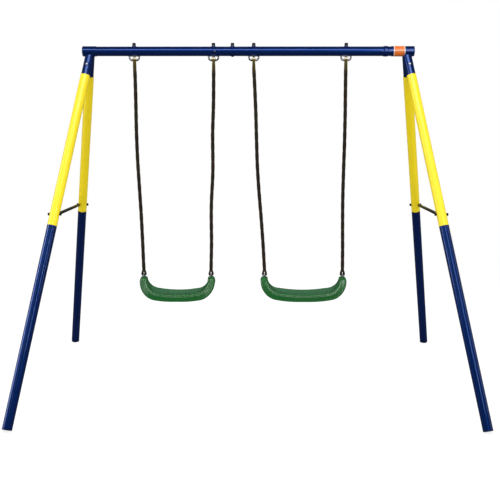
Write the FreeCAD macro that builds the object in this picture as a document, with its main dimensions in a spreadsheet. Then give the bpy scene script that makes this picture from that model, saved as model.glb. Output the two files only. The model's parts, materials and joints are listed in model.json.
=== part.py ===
import FreeCAD, Part
import math
import os

import Sketcher
from FreeCAD import Placement, Rotation, Vector

# Two-seat A-frame swing set. Millimetres, +Z up, +X along the beam, -Y is the front.
# The origin is on the ground, midway between the four feet and below the beam.

DIMENSIONS = (
    # beam and its two tubes
    ("beam_height", "1780", "height of the beam axis"),
    ("beam_half", "853", "middle to either end of the beam"),
    ("beam_radius", "24", "beam tube"),
    ("wall", "1.6", "wall of every tube"),
    ("slip", "0.1", "radial gap of a push-in joint"),
    ("joint_x", "-92", "seam between the two beam tubes"),
    ("joint_bolt_x", "-81", "bolt through that seam"),
    ("screw_x", "-171", "small screw in the left tube"),
    ("spigot_long", "105", "length of a swaged tube end"),
    ("beam_spigot", "60", "length of the beam's swaged end"),
    ("swage", "4", "length of a swaged shoulder"),
    ("bead_x", "707", "middle of the rolled bead on the right tube"),
    ("bead_half", "13", "half the bead's length"),
    ("bead_rise", "2.6", "how far the bead stands out"),
    # T connectors
    ("sleeve_wall", "1.7", "wall of a connector sleeve"),
    ("left_sleeve_x", "-783", "inner end of the left sleeve"),
    ("right_sleeve_x", "736", "inner end of the right sleeve"),
    ("socket_radius", "21.9", "outside of a leg socket"),
    ("socket_end", "133", "beam axis to the end of a socket"),
    ("socket_top", "18", "beam axis down to the flat top of a socket"),
    ("socket_floor", "31", "beam axis to the bottom of a socket's bore"),
    ("socket_bolt", "79", "beam axis to the bolt through a socket"),
    ("plug_flange", "3", "thickness of a beam end plug's flange"),
    ("plug_stem", "18", "length of a plug's stem"),
    # coloured band on the right sleeve
    ("band_from", "746", "left edge of the band"),
    ("band_to", "804", "right edge of the band"),
    ("band_thick", "0.3", "thickness of the band"),
    # legs
    ("top_half", "813", "middle to where the legs of one side meet"),
    ("foot_half", "1130", "middle to a foot, along the beam"),
    ("foot_depth", "690", "beam axis to a foot, front to back"),
    ("foot_height", "8", "height at which foot_half and foot_depth are measured"),
    ("leg_radius", "24", "outside of a leg tube"),
    ("spigot_start", "58", "beam axis to the top of an upper leg"),
    ("front_joint", "932", "beam axis to the seam of a front leg"),
    ("rear_joint", "949", "beam axis to the seam of a rear leg"),
    ("tube_end", "1925.4", "beam axis to the cut end of a lower leg"),
    ("foot_flange", "4", "thickness of a foot plug below the tube"),
    ("foot_stem", "28", "length of a foot plug inside the tube"),
    # braces
    ("front_brace_at", "873", "beam axis to the brace bolt in a front leg"),
    ("rear_brace_at", "911", "beam axis to the brace bolt in a rear leg"),
    ("brace_radius", "8", "round part of a brace"),
    ("tongue_thick", "4", "flattened end of a brace"),
    ("tongue_half", "7.5", "half the height of a flattened end"),
    ("tongue_off", "28.2", "leg axis to the middle of a flattened end"),
    ("brace_off", "13", "leg axis to the round part, sideways"),
    ("joggle_from", "13", "bolt to where the flattened end starts to bend"),
    ("joggle_to", "40", "bolt to where the round part starts"),
    # hangers
    ("stirrup_drop", "45.5", "beam axis to the hinge bar of a stirrup"),
    ("stirrup_half", "25", "middle to an arm of a stirrup"),
    ("stirrup_bend", "15", "bend radius of a stirrup"),
    ("wire_radius", "4.5", "round wire of a stirrup"),
    ("saddle_thick", "2", "curved plate under the beam"),
    ("saddle_half", "30", "half the length of that plate"),
    ("saddle_wide", "8", "half the width of that plate"),
    # fasteners
    ("bolt_radius", "4", "beam and socket bolts"),
    ("brace_bolt_radius", "3", "brace bolts"),
    ("hole_gap", "0.2", "radial gap around a bolt"),
    ("head_radius", "7.5", "domed bolt head"),
    ("head_thick", "3.6", "domed bolt head"),
    ("nut_radius", "7.4", "hexagonal nut, across its corners"),
    ("nut_thick", "6", "hexagonal nut"),
    ("collar_radius", "11.5", "foot of a collar on the beam"),
    ("collar_top", "9", "upper rim of a collar"),
    ("collar_rise", "6", "height of a collar above the beam"),
    ("cap_radius", "9", "cap over a beam nut"),
    ("cap_tall", "12", "height of that cap"),
    ("cap_wall", "1.5", "wall of that cap"),
    ("cap_nut_radius", "7.5", "domed nut of a brace"),
    ("cap_nut_long", "8.5", "length of a domed nut"),
    # ropes, and where they hang from the beam and from the seats
    ("left_hang_left", "-588", "left swing, left hanger"),
    ("left_hang_right", "-179", "left swing, right hanger"),
    ("left_eye_left", "-568.5", "left seat, left eye"),
    ("left_eye_right", "-202.5", "left seat, right eye"),
    ("right_hang_left", "28.5", "right swing, left hanger"),
    ("right_hang_right", "504", "right swing, right hanger"),
    ("right_eye_left", "88", "right seat, left eye"),
    ("right_eye_right", "511.5", "right seat, right eye"),
    ("rope_radius", "9.2", "rope"),
    ("strand_thick", "3.75", "half the thickness of the rope where it is folded over"),
    ("hose_wide", "13", "half the width of a sleeve"),
    ("hose_wall", "1.5", "wall of a sleeve"),
    ("hose_angle", "62", "how far a sleeve turns either side of the top, in degrees"),
    ("fold_leg", "24", "hinge bar to where the two legs of a folded rope join"),
    ("fold_neck", "18", "length over which they close up to a round rope"),
    ("run_gap", "0.1", "running gap of a hinge"),
    ("eye_height", "599", "height of the seat hinges"),
    ("loop_radius", "5", "strand of the rope's lower loop"),
    ("loop_bend", "7", "bend radius of the lower loop"),
    ("loop_rise", "11", "upright part of the lower loop"),
    ("loop_neck", "14", "length over which the lower loop closes up"),
    ("neck_lap", "4", "overlap of a loop and the rope"),
    ("eye_half", "2.5", "half the thickness of a seat eye"),
    ("eye_radius", "9", "outside of a seat eye"),
    ("stem_radius", "3", "stem of a seat eye"),
    ("stem_long", "24", "length of the stem in the seat"),
    ("eye_collar", "9.5", "collar of a seat eye, on the seat"),
    ("collar_thick", "2.5", "thickness of that collar"),
    # seats
    ("seat_top", "590", "top of the turned-up seat ends"),
    ("seat_low", "503.5", "middle of the seating surface"),
    ("seat_thick", "36", "depth of the seat's skirt"),
    ("seat_wall", "4", "moulded wall of a seat"),
    ("seat_mid", "70", "half the seat's width in the middle"),
    ("seat_tip", "21", "half the seat's width at its ends"),
    ("seat_fill", "1.8", "how soon the seat reaches its full width, 1 being its middle"),
    ("seat_bend", "68", "bend radius of the turned-up ends"),
    ("seat_slope", "10", "slope where that bend ends, in degrees"),
    ("seat_round", "12", "rounding along the rim"),
    ("seat_dome", "9", "rounding over the top of a seat end"),
    ("seat_heel", "11", "rounding down the outside of a seat end"),
    ("seat_foot", "1.5", "rounding along the skirt's lower edge"),
    ("seat_swell", "8", "extra depth of the skirt where the seat bends"),
)

doc = FreeCAD.newDocument("swing_set")
sheet = doc.addObject("Spreadsheet::Sheet", "Sizes")
for row, (alias, value, meaning) in enumerate(DIMENSIONS, 1):
    sheet.set(f"A{row}", meaning)
    sheet.set(f"B{row}", value)
    sheet.setAlias(f"B{row}", alias)
doc.recompute()

sub_parts = []


def size(expression):
    """The number that an expression of sheet aliases gives."""
    return float(sheet.evalExpression(expression))


def pair(name):
    """The two numbers of a left and right pair of aliases."""
    return size(name + "_left"), size(name + "_right")


def bound(expression):
    """The same expression, with each alias written as other objects must name it."""
    words = expression.replace("(", " ( ").replace(")", " ) ").split()
    names = {alias for alias, _, _ in DIMENSIONS}
    return " ".join(f"Sizes.{word}" if word in names else word for word in words)


def keep(obj, label):
    """Mark an object as a finished sub-part."""
    obj.Label = label
    sub_parts.append(obj)
    return obj


# ---- small builders ----------------------------------------------------------------------


def origin_plane(body, role):
    return next(item for item in body.Origin.OriginFeatures if item.Role == role)


def new_sketch(body, name, role):
    sketch = body.newObject("Sketcher::SketchObject", name)
    sketch.AttachmentSupport = [(origin_plane(body, role), "")]
    sketch.MapMode = "FlatFace"
    return sketch


def pin_point(sketch, geometry, end, across, up):
    """Fix a sketch point at the two expressions, measured from the origin."""
    for kind, expression in (("DistanceX", across), ("DistanceY", up)):
        value = size(expression)
        index = sketch.addConstraint(Sketcher.Constraint(kind, -1, 1, geometry, end, value))
        sketch.setExpression(f"Constraints[{index}]", bound(expression))


def closed_outline(sketch, corners):
    """A closed run of straight lines through corners, each a pair of expressions."""
    points = [Vector(size(across), size(up), 0) for across, up in corners]
    count = len(points)
    for index in range(count):
        sketch.addGeometry(Part.LineSegment(points[index], points[(index + 1) % count]))
    for index, (across, up) in enumerate(corners):
        before = (index - 1) % count
        sketch.addConstraint(Sketcher.Constraint("Coincident", before, 2, index, 1))
        pin_point(sketch, index, 1, across, up)


def turned(name, outline, round_rim=None):
    """A body turned about its own Z axis from (radius, height) corners.

    round_rim is (height, radius): the outermost edge at that height is rounded."""
    body = doc.addObject("PartDesign::Body", name)
    sketch = new_sketch(body, name + "_outline", "XZ_Plane")
    closed_outline(sketch, outline)
    spin = body.newObject("PartDesign::Revolution", name + "_turned")
    spin.Profile = sketch
    spin.ReferenceAxis = (sketch, ["V_Axis"])
    spin.Angle = 360
    if round_rim:
        height, radius = round_rim
        doc.recompute()
        edge = outer_edge_at(spin.Shape, size(height))
        fillet = body.newObject("PartDesign::Fillet", name + "_rim")
        fillet.Base = (spin, [edge])
        fillet.setExpression("Radius", bound(radius))
    return body


def outer_edge_at(shape, height):
    """The name of the largest round edge that lies at a height."""
    best, widest = None, 0
    for index, edge in enumerate(shape.Edges, 1):
        box = edge.BoundBox
        if abs(box.ZMin - height) < 0.01 and abs(box.ZMax - height) < 0.01 and box.XLength > widest:
            best, widest = f"Edge{index}", box.XLength
    return best


def cylinder(name, radius, length, place):
    rod = doc.addObject("Part::Cylinder", name)
    rod.setExpression("Radius", bound(radius))
    rod.setExpression("Height", bound(length))
    rod.Placement = place
    return rod


def joined(name, pieces):
    fuse = doc.addObject("Part::MultiFuse", name)
    fuse.Shapes = pieces
    return fuse


def without(name, base, tools):
    """base with each of the tools cut from it."""
    cut = doc.addObject("Part::Cut", name)
    cut.Base = base
    cut.Tool = tools[0] if len(tools) == 1 else joined(name + "_tools", tools)
    return cut


def repeated(label, master, places):
    """One sub-part of identical separate pieces, a copy of master at each place."""
    links = []
    for index, place in enumerate(places, 1):
        link = doc.addObject("App::Link", f"{label}_{index}")
        link.LinkedObject = master
        link.LinkTransform = False
        link.Placement = place
        links.append(link)
    group = doc.addObject("Part::Compound", label)
    group.Links = links
    return keep(group, label)


def facing(start, direction):
    """A placement that takes local +Z to a direction, and the local origin to start."""
    return Placement(start, Rotation(Vector(0, 0, 1), direction))


# ---- geometry shared by several pieces ---------------------------------------------------

ALONG = Vector(1, 0, 0)
UP = Vector(0, 0, 1)
SIDES = (("left", -1), ("right", 1))
ENDS = (("front", -1), ("rear", 1))
# Each swing: where its ropes hang from the beam, and where its seat's two eyes are.
SWINGS = tuple((swing, pair(swing + "_hang"), pair(swing + "_eye")) for swing in ("left", "right"))

beam_height = size("beam_height")
beam_radius = size("beam_radius")
joint_bolt_x = size("joint_bolt_x")
screw_x = size("screw_x")


def on_beam(x):
    return Vector(x, 0, beam_height)


def leg_start(side):
    return on_beam(side * size("top_half"))


def leg_direction(side, end):
    """Unit vector from the beam down a leg."""
    foot = Vector(side * size("foot_half"), end * size("foot_depth"), size("foot_height"))
    return (foot - leg_start(side)).normalize()


def leg_point(side, end, distance):
    return leg_start(side) + leg_direction(side, end) * distance


def leg_place(side, end):
    return facing(leg_start(side), leg_direction(side, end))


def outward(side, end):
    """Unit vector square to a leg, pointing away from the swings, front or rear."""
    down = leg_direction(side, end)
    forward = Vector(0, end, 0)
    return (forward - down * forward.dot(down)).normalize()


def cross_drill(name, middle, direction, radius, reach):
    """A drill of twice the reach, centred on middle."""
    return cylinder(name, radius, f"2 * ( {reach} )", facing(middle - direction * size(reach), direction))


def hanger_positions():
    return [x for _, tops, _ in SWINGS for x in tops]


# ---- beam --------------------------------------------------------------------------------


def beam_tubes():
    """Two tubes: the left one ends in a swaged spigot that the right one slides over."""
    bolt_hole = "bolt_radius + hole_gap"
    left_long = "beam_half - plug_flange - slip + joint_x"
    left = turned("beam_left_blank", [
        ("beam_radius - wall", "0"),
        ("beam_radius", "0"),
        ("beam_radius", left_long),
        ("beam_radius - wall - slip", left_long),
        ("beam_radius - wall - slip", left_long + " + beam_spigot"),
        ("beam_radius - 2 * wall - slip", left_long + " + beam_spigot"),
        ("beam_radius - 2 * wall - slip", left_long),
        ("beam_radius - wall", left_long + " - swage"),
    ])
    left.Placement = facing(on_beam(-size("beam_half - plug_flange - slip")), ALONG)
    bead = "bead_x - joint_x"
    right_long = "beam_half - plug_flange - slip - joint_x"
    right = turned("beam_right_blank", [
        ("beam_radius - wall", "0"),
        ("beam_radius", "0"),
        ("beam_radius", bead + " - bead_half"),
        ("beam_radius + bead_rise", bead + " - bead_half + swage"),
        ("beam_radius + bead_rise", bead + " + bead_half - swage"),
        ("beam_radius", bead + " + bead_half"),
        ("beam_radius", right_long),
        ("beam_radius - wall", right_long),
        ("beam_radius - wall", bead + " + bead_half"),
        ("beam_radius - wall + bead_rise", bead + " + bead_half - swage"),
        ("beam_radius - wall + bead_rise", bead + " - bead_half + swage"),
        ("beam_radius - wall", bead + " - bead_half"),
    ])
    right.Placement = facing(on_beam(size("joint_x + slip")), ALONG)
    left_x, right_x = SWINGS[0][1], SWINGS[1][1]
    for label, blank, drilled in (
        ("beam_left_tube", left, left_x + (joint_bolt_x,)),
        ("beam_right_tube", right, right_x + (joint_bolt_x,)),
    ):
        drills = [
            cross_drill(f"{label}_drill_{index}", on_beam(x), UP, bolt_hole, "2 * beam_radius")
            for index, x in enumerate(drilled)
        ]
        if label == "beam_left_tube":
            start = on_beam(screw_x) - Vector(0, 2 * beam_radius, 0)
            drills.append(cylinder("beam_screw_hole", "brace_bolt_radius + slip", "2 * beam_radius",
                                   facing(start, Vector(0, 1, 0))))
        keep(without(label, blank, drills), label)


def end_plugs():
    """A plastic plug in each end of the beam, with a flange that hides the sleeve's rim."""
    flange = "beam_radius + slip + sleeve_wall"
    stem = "beam_radius - wall - slip"
    for side_name, side in SIDES:
        plug = turned(f"beam_end_plug_{side_name}", [
            ("0", "0"),
            (flange, "0"),
            (flange, "plug_flange"),
            (stem, "plug_flange"),
            (stem, "plug_flange + plug_stem"),
            (stem + " - 2 * wall", "plug_flange + plug_stem"),
            (stem + " - 2 * wall", "plug_flange"),
            ("0", "plug_flange"),
        ], round_rim=("0", "wall"))
        plug.Placement = facing(on_beam(side * size("beam_half")), ALONG * -side)
        keep(plug, f"beam_end_plug_{side_name}")


def socket_solid(name, side, end, radius):
    """A cylinder down a leg from the beam's underside, flat on top."""
    solid = cylinder(name, radius, "socket_end", leg_place(side, end))
    above = doc.addObject("Part::Box", name + "_above")
    for dimension in ("Length", "Width", "Height"):
        above.setExpression(dimension, bound("4 * leg_radius"))
    half = size("2 * leg_radius")
    corner = leg_start(side) - Vector(half, half, size("socket_top"))
    above.Placement = Placement(corner, Rotation())
    return without(name + "_flat", solid, [above])


def tee_connectors():
    """A sleeve around each end of the beam with two leg sockets welded below it."""
    inner_ends = {"left": "left_sleeve_x", "right": "right_sleeve_x"}
    for side_name, side in SIDES:
        outer_end = "beam_half - plug_flange"
        length = f"{outer_end} {'+' if side < 0 else '-'} {inner_ends[side_name]}"
        place = facing(on_beam(side * size(outer_end)), ALONG * -side)
        name = f"tee_{side_name}"
        solids = [cylinder(name + "_sleeve", "beam_radius + slip + sleeve_wall", length, place)]
        bores = [cylinder(name + "_bore", "beam_radius + slip", length, place)]
        for end_name, end in ENDS:
            tag = f"{name}_{end_name}"
            floor = facing(leg_point(side, end, size("socket_floor")), leg_direction(side, end))
            solids.append(socket_solid(tag + "_socket", side, end, "socket_radius"))
            bores.append(cylinder(tag + "_socket_bore", "socket_radius - wall - slip",
                                  "socket_end - socket_floor + wall", floor))
            bores.append(cross_drill(tag + "_drill", leg_point(side, end, size("socket_bolt")),
                                     outward(side, end), "bolt_radius + hole_gap", "socket_radius + wall"))
        keep(without(name, joined(name + "_solid", solids), bores), name)


def coloured_band():
    """A thin wrapped band on the right sleeve, trimmed where the sockets are welded on."""
    radius = "beam_radius + slip + sleeve_wall + slip"
    place = facing(on_beam(size("band_from")), ALONG)
    outer = cylinder("band_outer", radius + " + band_thick", "band_to - band_from", place)
    tools = [cylinder("band_inner", radius, "band_to - band_from", place)]
    for end_name, end in ENDS:
        tools.append(socket_solid(f"band_trim_{end_name}", 1, end, "socket_radius + slip"))
    keep(without("beam_band", outer, tools), "beam_band")


# ---- legs --------------------------------------------------------------------------------


def legs():
    """Upper and lower leg tubes, each with a swaged top, and a plug in every foot."""
    inside = "leg_radius - wall"
    upper_spigot = "socket_radius - wall - 2 * slip"
    lower_spigot = "leg_radius - wall - slip"
    for side_name, side in SIDES:
        for end_name, end in ENDS:
            where = f"{end_name}_{side_name}"
            brace_at = f"{end_name}_brace_at"
            joint = f"{end_name}_joint"
            place = leg_place(side, end)
            upper = turned(f"upper_leg_{where}_blank", [
                (upper_spigot + " - wall", "spigot_start"),
                (upper_spigot, "spigot_start"),
                (upper_spigot, "socket_end + slip"),
                ("leg_radius", "socket_end + slip"),
                ("leg_radius", joint),
                (inside, joint),
                (inside, "socket_end + slip + swage"),
                (upper_spigot + " - wall", "socket_end + slip"),
            ])
            lower = turned(f"lower_leg_{where}_blank", [
                (lower_spigot + " - wall", joint + " - spigot_long"),
                (lower_spigot, joint + " - spigot_long"),
                (lower_spigot, joint + " + slip"),
                ("leg_radius", joint + " + slip"),
                ("leg_radius", "tube_end"),
                (inside, "tube_end"),
                (inside, joint + " + slip + swage"),
                (lower_spigot + " - wall", joint + " + slip"),
            ])
            upper.Placement = place
            lower.Placement = place
            bolt_at = leg_point(side, end, size("socket_bolt"))
            brace_point = leg_point(side, end, size(brace_at))
            reach = "leg_radius + spigot_start"
            brace_hole = "brace_bolt_radius + hole_gap"
            upper_tools = [
                cross_drill(f"upper_{where}_bolt_drill", bolt_at, outward(side, end),
                            "bolt_radius + hole_gap", "leg_radius"),
                cross_drill(f"upper_{where}_brace_drill", brace_point, ALONG, brace_hole, reach),
            ]
            lower_tools = [
                cross_drill(f"lower_{where}_brace_drill", brace_point, ALONG, brace_hole, reach)
            ]
            keep(without(f"upper_leg_{where}", upper, upper_tools), f"upper_leg_{where}")
            keep(without(f"lower_leg_{where}", lower, lower_tools), f"lower_leg_{where}")
            foot_plug(where, place)


def foot_plug(where, place):
    """A plug whose flange covers the tube's end and is cut flat where it meets the ground."""
    stem = "leg_radius - wall - slip"
    blank = turned(f"foot_plug_{where}_blank", [
        ("0", "tube_end"),
        (stem + " - 2 * wall", "tube_end"),
        (stem + " - 2 * wall", "tube_end - foot_stem"),
        (stem, "tube_end - foot_stem"),
        (stem, "tube_end + slip"),
        ("leg_radius", "tube_end + slip"),
        ("leg_radius", "tube_end + slip + foot_flange"),
        ("0", "tube_end + slip + foot_flange"),
    ])
    blank.Placement = place
    ground = doc.addObject("Part::Box", f"ground_{where}")
    ground.setExpression("Length", bound("4 * leg_radius"))
    ground.setExpression("Width", bound("4 * leg_radius"))
    ground.setExpression("Height", bound("leg_radius"))
    under = place.multVec(Vector(0, 0, size("tube_end")))
    half = size("2 * leg_radius")
    ground.Placement = Placement(Vector(under.x - half, under.y - half, -size("leg_radius")), Rotation())
    keep(without(f"foot_plug_{where}", blank, [ground]), f"foot_plug_{where}")


# ---- braces ------------------------------------------------------------------------------


def oval(middle, first, second):
    """An oval wire around middle, through the ends of two half axes square to each other."""
    if math.isclose(first.Length, second.Length):
        curve = Part.Circle(middle, first.cross(second), first.Length)
    elif first.Length > second.Length:
        curve = Part.Ellipse(middle + first, middle + second, middle)
    else:
        curve = Part.Ellipse(middle + second, middle - first, middle)
    return Part.Wire([curve.toShape()])


def upright_oval(middle, half_x, half_z):
    return oval(middle, Vector(half_x, 0, 0), Vector(0, 0, half_z))


def level_oval(middle, half_x, half_y):
    return oval(middle, Vector(half_x, 0, 0), Vector(0, half_y, 0))


def brace(side_name, side):
    """A rod with flattened ends: inside the front leg, outside the rear one.

    Each end is joggled sideways, so that the rod runs just behind the front leg and
    just in front of the rear leg, where it has a domed tip."""
    thick = size("tongue_thick")
    tongue = size("tongue_half")
    radius = size("brace_radius")
    front = leg_point(side, -1, size("front_brace_at"))
    rear = leg_point(side, 1, size("rear_brace_at"))
    slope = (rear.z - front.z) / (rear.y - front.y)
    pieces = []
    rod_sections = []
    for bolt, toward, sideways in ((front, 1, -side), (rear, -1, side)):

        def station(distance, offset):
            along = toward * distance
            return Vector(bolt.x + sideways * offset, bolt.y + along, bolt.z + slope * along)

        plate_middle = station(0, size("tongue_off"))
        bend = station(size("joggle_from"), size("tongue_off"))
        disc = Part.makeCylinder(tongue, thick, plate_middle - ALONG * (thick / 2), ALONG)
        corners = []
        for point, sign in ((plate_middle, -1), (bend, -1), (bend, 1), (plate_middle, 1)):
            corners.append(point + Vector(-thick / 2, 0, sign * tongue))
        strip = Part.Face(Part.makePolygon(corners + corners[:1])).extrude(ALONG * thick)
        rod_end = station(size("joggle_to"), size("brace_off"))
        joggle = Part.makeLoft([
            upright_oval(bend, thick / 2, tongue),
            upright_oval(rod_end, radius - size("slip"), radius - size("slip")),
        ], True, True)
        hole = Part.makeCylinder(size("brace_bolt_radius + hole_gap"), 2 * thick,
                                 plate_middle - ALONG * thick, ALONG)
        pieces += [disc.fuse(strip).cut(hole), joggle]
        rod_sections.append(upright_oval(rod_end, radius, radius))
        if bolt is rear:
            for turn in (math.pi / 6, math.pi / 3):
                tip = station(size("joggle_to") - radius * math.sin(turn), size("brace_off"))
                rod_sections.append(upright_oval(tip, radius * math.cos(turn), radius * math.cos(turn)))
    rod = Part.makeLoft(rod_sections, True, True)
    body = rod
    for piece in pieces:
        body = body.fuse(piece)
    feature = doc.addObject("Part::Feature", f"brace_{side_name}")
    feature.Shape = body.removeSplitter()
    keep(feature, f"brace_{side_name}")


# ---- fasteners ---------------------------------------------------------------------------


def domed_bolt(name, radius, length, head, thick):
    """A bolt along +Z with its head below the origin."""
    return turned(name, [
        ("0", f"0 - {thick}"),
        (head, f"0 - {thick}"),
        (head, "0"),
        (radius, "0"),
        (radius, length),
        ("0", length),
    ], round_rim=(f"0 - {thick}", f"{thick} - wall / 4"))


def hexagon_nut(name, radius, bore, thick):
    block = doc.addObject("Part::Prism", name + "_block")
    block.Polygon = 6
    block.setExpression("Circumradius", bound(radius))
    block.setExpression("Height", bound(thick))
    return without(name, block, [cylinder(name + "_bore", bore, thick, Placement())])


def beam_fasteners():
    """Bolts up through the beam, each with a collar, a nut and a cap on top."""
    top = "beam_radius + collar_rise + nut_thick + saddle_thick"
    under_saddle = "beam_radius + saddle_thick + slip"
    hanger_bolt = domed_bolt("hanger_bolt", "bolt_radius", f"{under_saddle} + {top}",
                             "head_radius", "head_thick")
    drop = Vector(0, 0, size(under_saddle))
    repeated("hanger_bolts", hanger_bolt,
             [Placement(on_beam(x) - drop, Rotation()) for x in hanger_positions()])
    joint_bolt = domed_bolt("joint_bolt", "bolt_radius", f"beam_radius + slip + {top}",
                            "head_radius", "head_thick")
    joint_bolt.Placement.Base = on_beam(joint_bolt_x) - Vector(0, 0, size("beam_radius + slip"))
    keep(joint_bolt, "beam_joint_bolt")

    bolted = hanger_positions() + [joint_bolt_x]
    cone = turned("collar_cone", [
        ("bolt_radius + hole_gap", "beam_radius - wall"),
        ("collar_radius", "beam_radius - wall - swage"),
        ("collar_radius", "beam_radius - wall / 2"),
        ("collar_top", "beam_radius + collar_rise"),
        ("bolt_radius + hole_gap", "beam_radius + collar_rise"),
    ])
    around = cylinder("collar_saddle", "beam_radius + slip", "4 * collar_radius",
                      facing(Vector(-2 * size("collar_radius"), 0, 0), ALONG))
    collar = without("collar", cone, [around])
    repeated("beam_collars", collar, [Placement(on_beam(x), Rotation()) for x in bolted])

    seat = Vector(0, 0, size("beam_radius + collar_rise + slip"))
    nut = hexagon_nut("beam_nut", "nut_radius", "bolt_radius + slip", "nut_thick")
    repeated("beam_nuts", nut, [Placement(on_beam(x) + seat, Rotation()) for x in bolted])
    cap = turned("nut_cap", [
        ("nut_radius + slip", "0"),
        ("cap_radius", "0"),
        ("cap_radius", "cap_tall"),
        ("0", "cap_tall"),
        ("0", "cap_tall - cap_wall"),
        ("nut_radius + slip", "cap_tall - cap_wall"),
    ], round_rim=("cap_tall", "cap_radius / 3"))
    repeated("nut_caps", cap, [Placement(on_beam(x) + seat, Rotation()) for x in bolted])


def socket_fasteners():
    """A bolt through each leg socket, its domed head outside and its nut inside the frame."""
    outer = "socket_radius + slip"
    bolt = domed_bolt("socket_bolt_master", "bolt_radius",
                      f"2 * ( {outer} ) + nut_thick + saddle_thick", "head_radius", "head_thick")
    nut = hexagon_nut("socket_nut_master", "nut_radius", "bolt_radius + slip", "nut_thick")
    bolt_places, nut_places = [], []
    for _, side in SIDES:
        for _, end in ENDS:
            middle = leg_point(side, end, size("socket_bolt"))
            away = outward(side, end)
            bolt_places.append(facing(middle + away * size(outer), away * -1))
            nut_places.append(facing(middle - away * size(outer), away * -1))
    repeated("socket_bolts", bolt, bolt_places)
    repeated("socket_nuts", nut, nut_places)


def brace_fasteners():
    """A bolt along X through each brace end and leg, with a domed nut on the far side."""
    head_at = "tongue_off + tongue_thick / 2 + slip"
    nut_at = "leg_radius + wall + slip"
    bolt = domed_bolt("brace_bolt_master", "brace_bolt_radius",
                      f"{head_at} + {nut_at} + cap_nut_long - wall - slip",
                      "cap_nut_radius", "head_thick")
    nut = turned("brace_nut_master", [
        ("brace_bolt_radius + slip", "0"),
        ("cap_nut_radius", "0"),
        ("cap_nut_radius", "cap_nut_long"),
        ("0", "cap_nut_long"),
        ("0", "cap_nut_long - wall"),
        ("brace_bolt_radius + slip", "cap_nut_long - wall"),
    ], round_rim=("cap_nut_long", "cap_nut_radius * 0.7"))
    bolt_places, nut_places = [], []
    for _, side in SIDES:
        for end_name, end in ENDS:
            middle = leg_point(side, end, size(f"{end_name}_brace_at"))
            to_head = ALONG * (side * end)
            bolt_places.append(facing(middle + to_head * size(head_at), to_head * -1))
            nut_places.append(facing(middle - to_head * size(nut_at), to_head * -1))
    repeated("brace_bolts", bolt, bolt_places)
    repeated("brace_cap_nuts", nut, nut_places)


def beam_screw():
    """A short screw in the front of the left tube, beside a hanger."""
    screw = domed_bolt("beam_screw", "brace_bolt_radius", "swage + wall",
                       "brace_bolt_radius + wall", "wall")
    start = on_beam(screw_x) - Vector(0, size("beam_radius + slip"), 0)
    screw.Placement = facing(start, Vector(0, 1, 0))
    keep(screw, "beam_screw")


# ---- hangers -----------------------------------------------------------------------------


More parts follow.
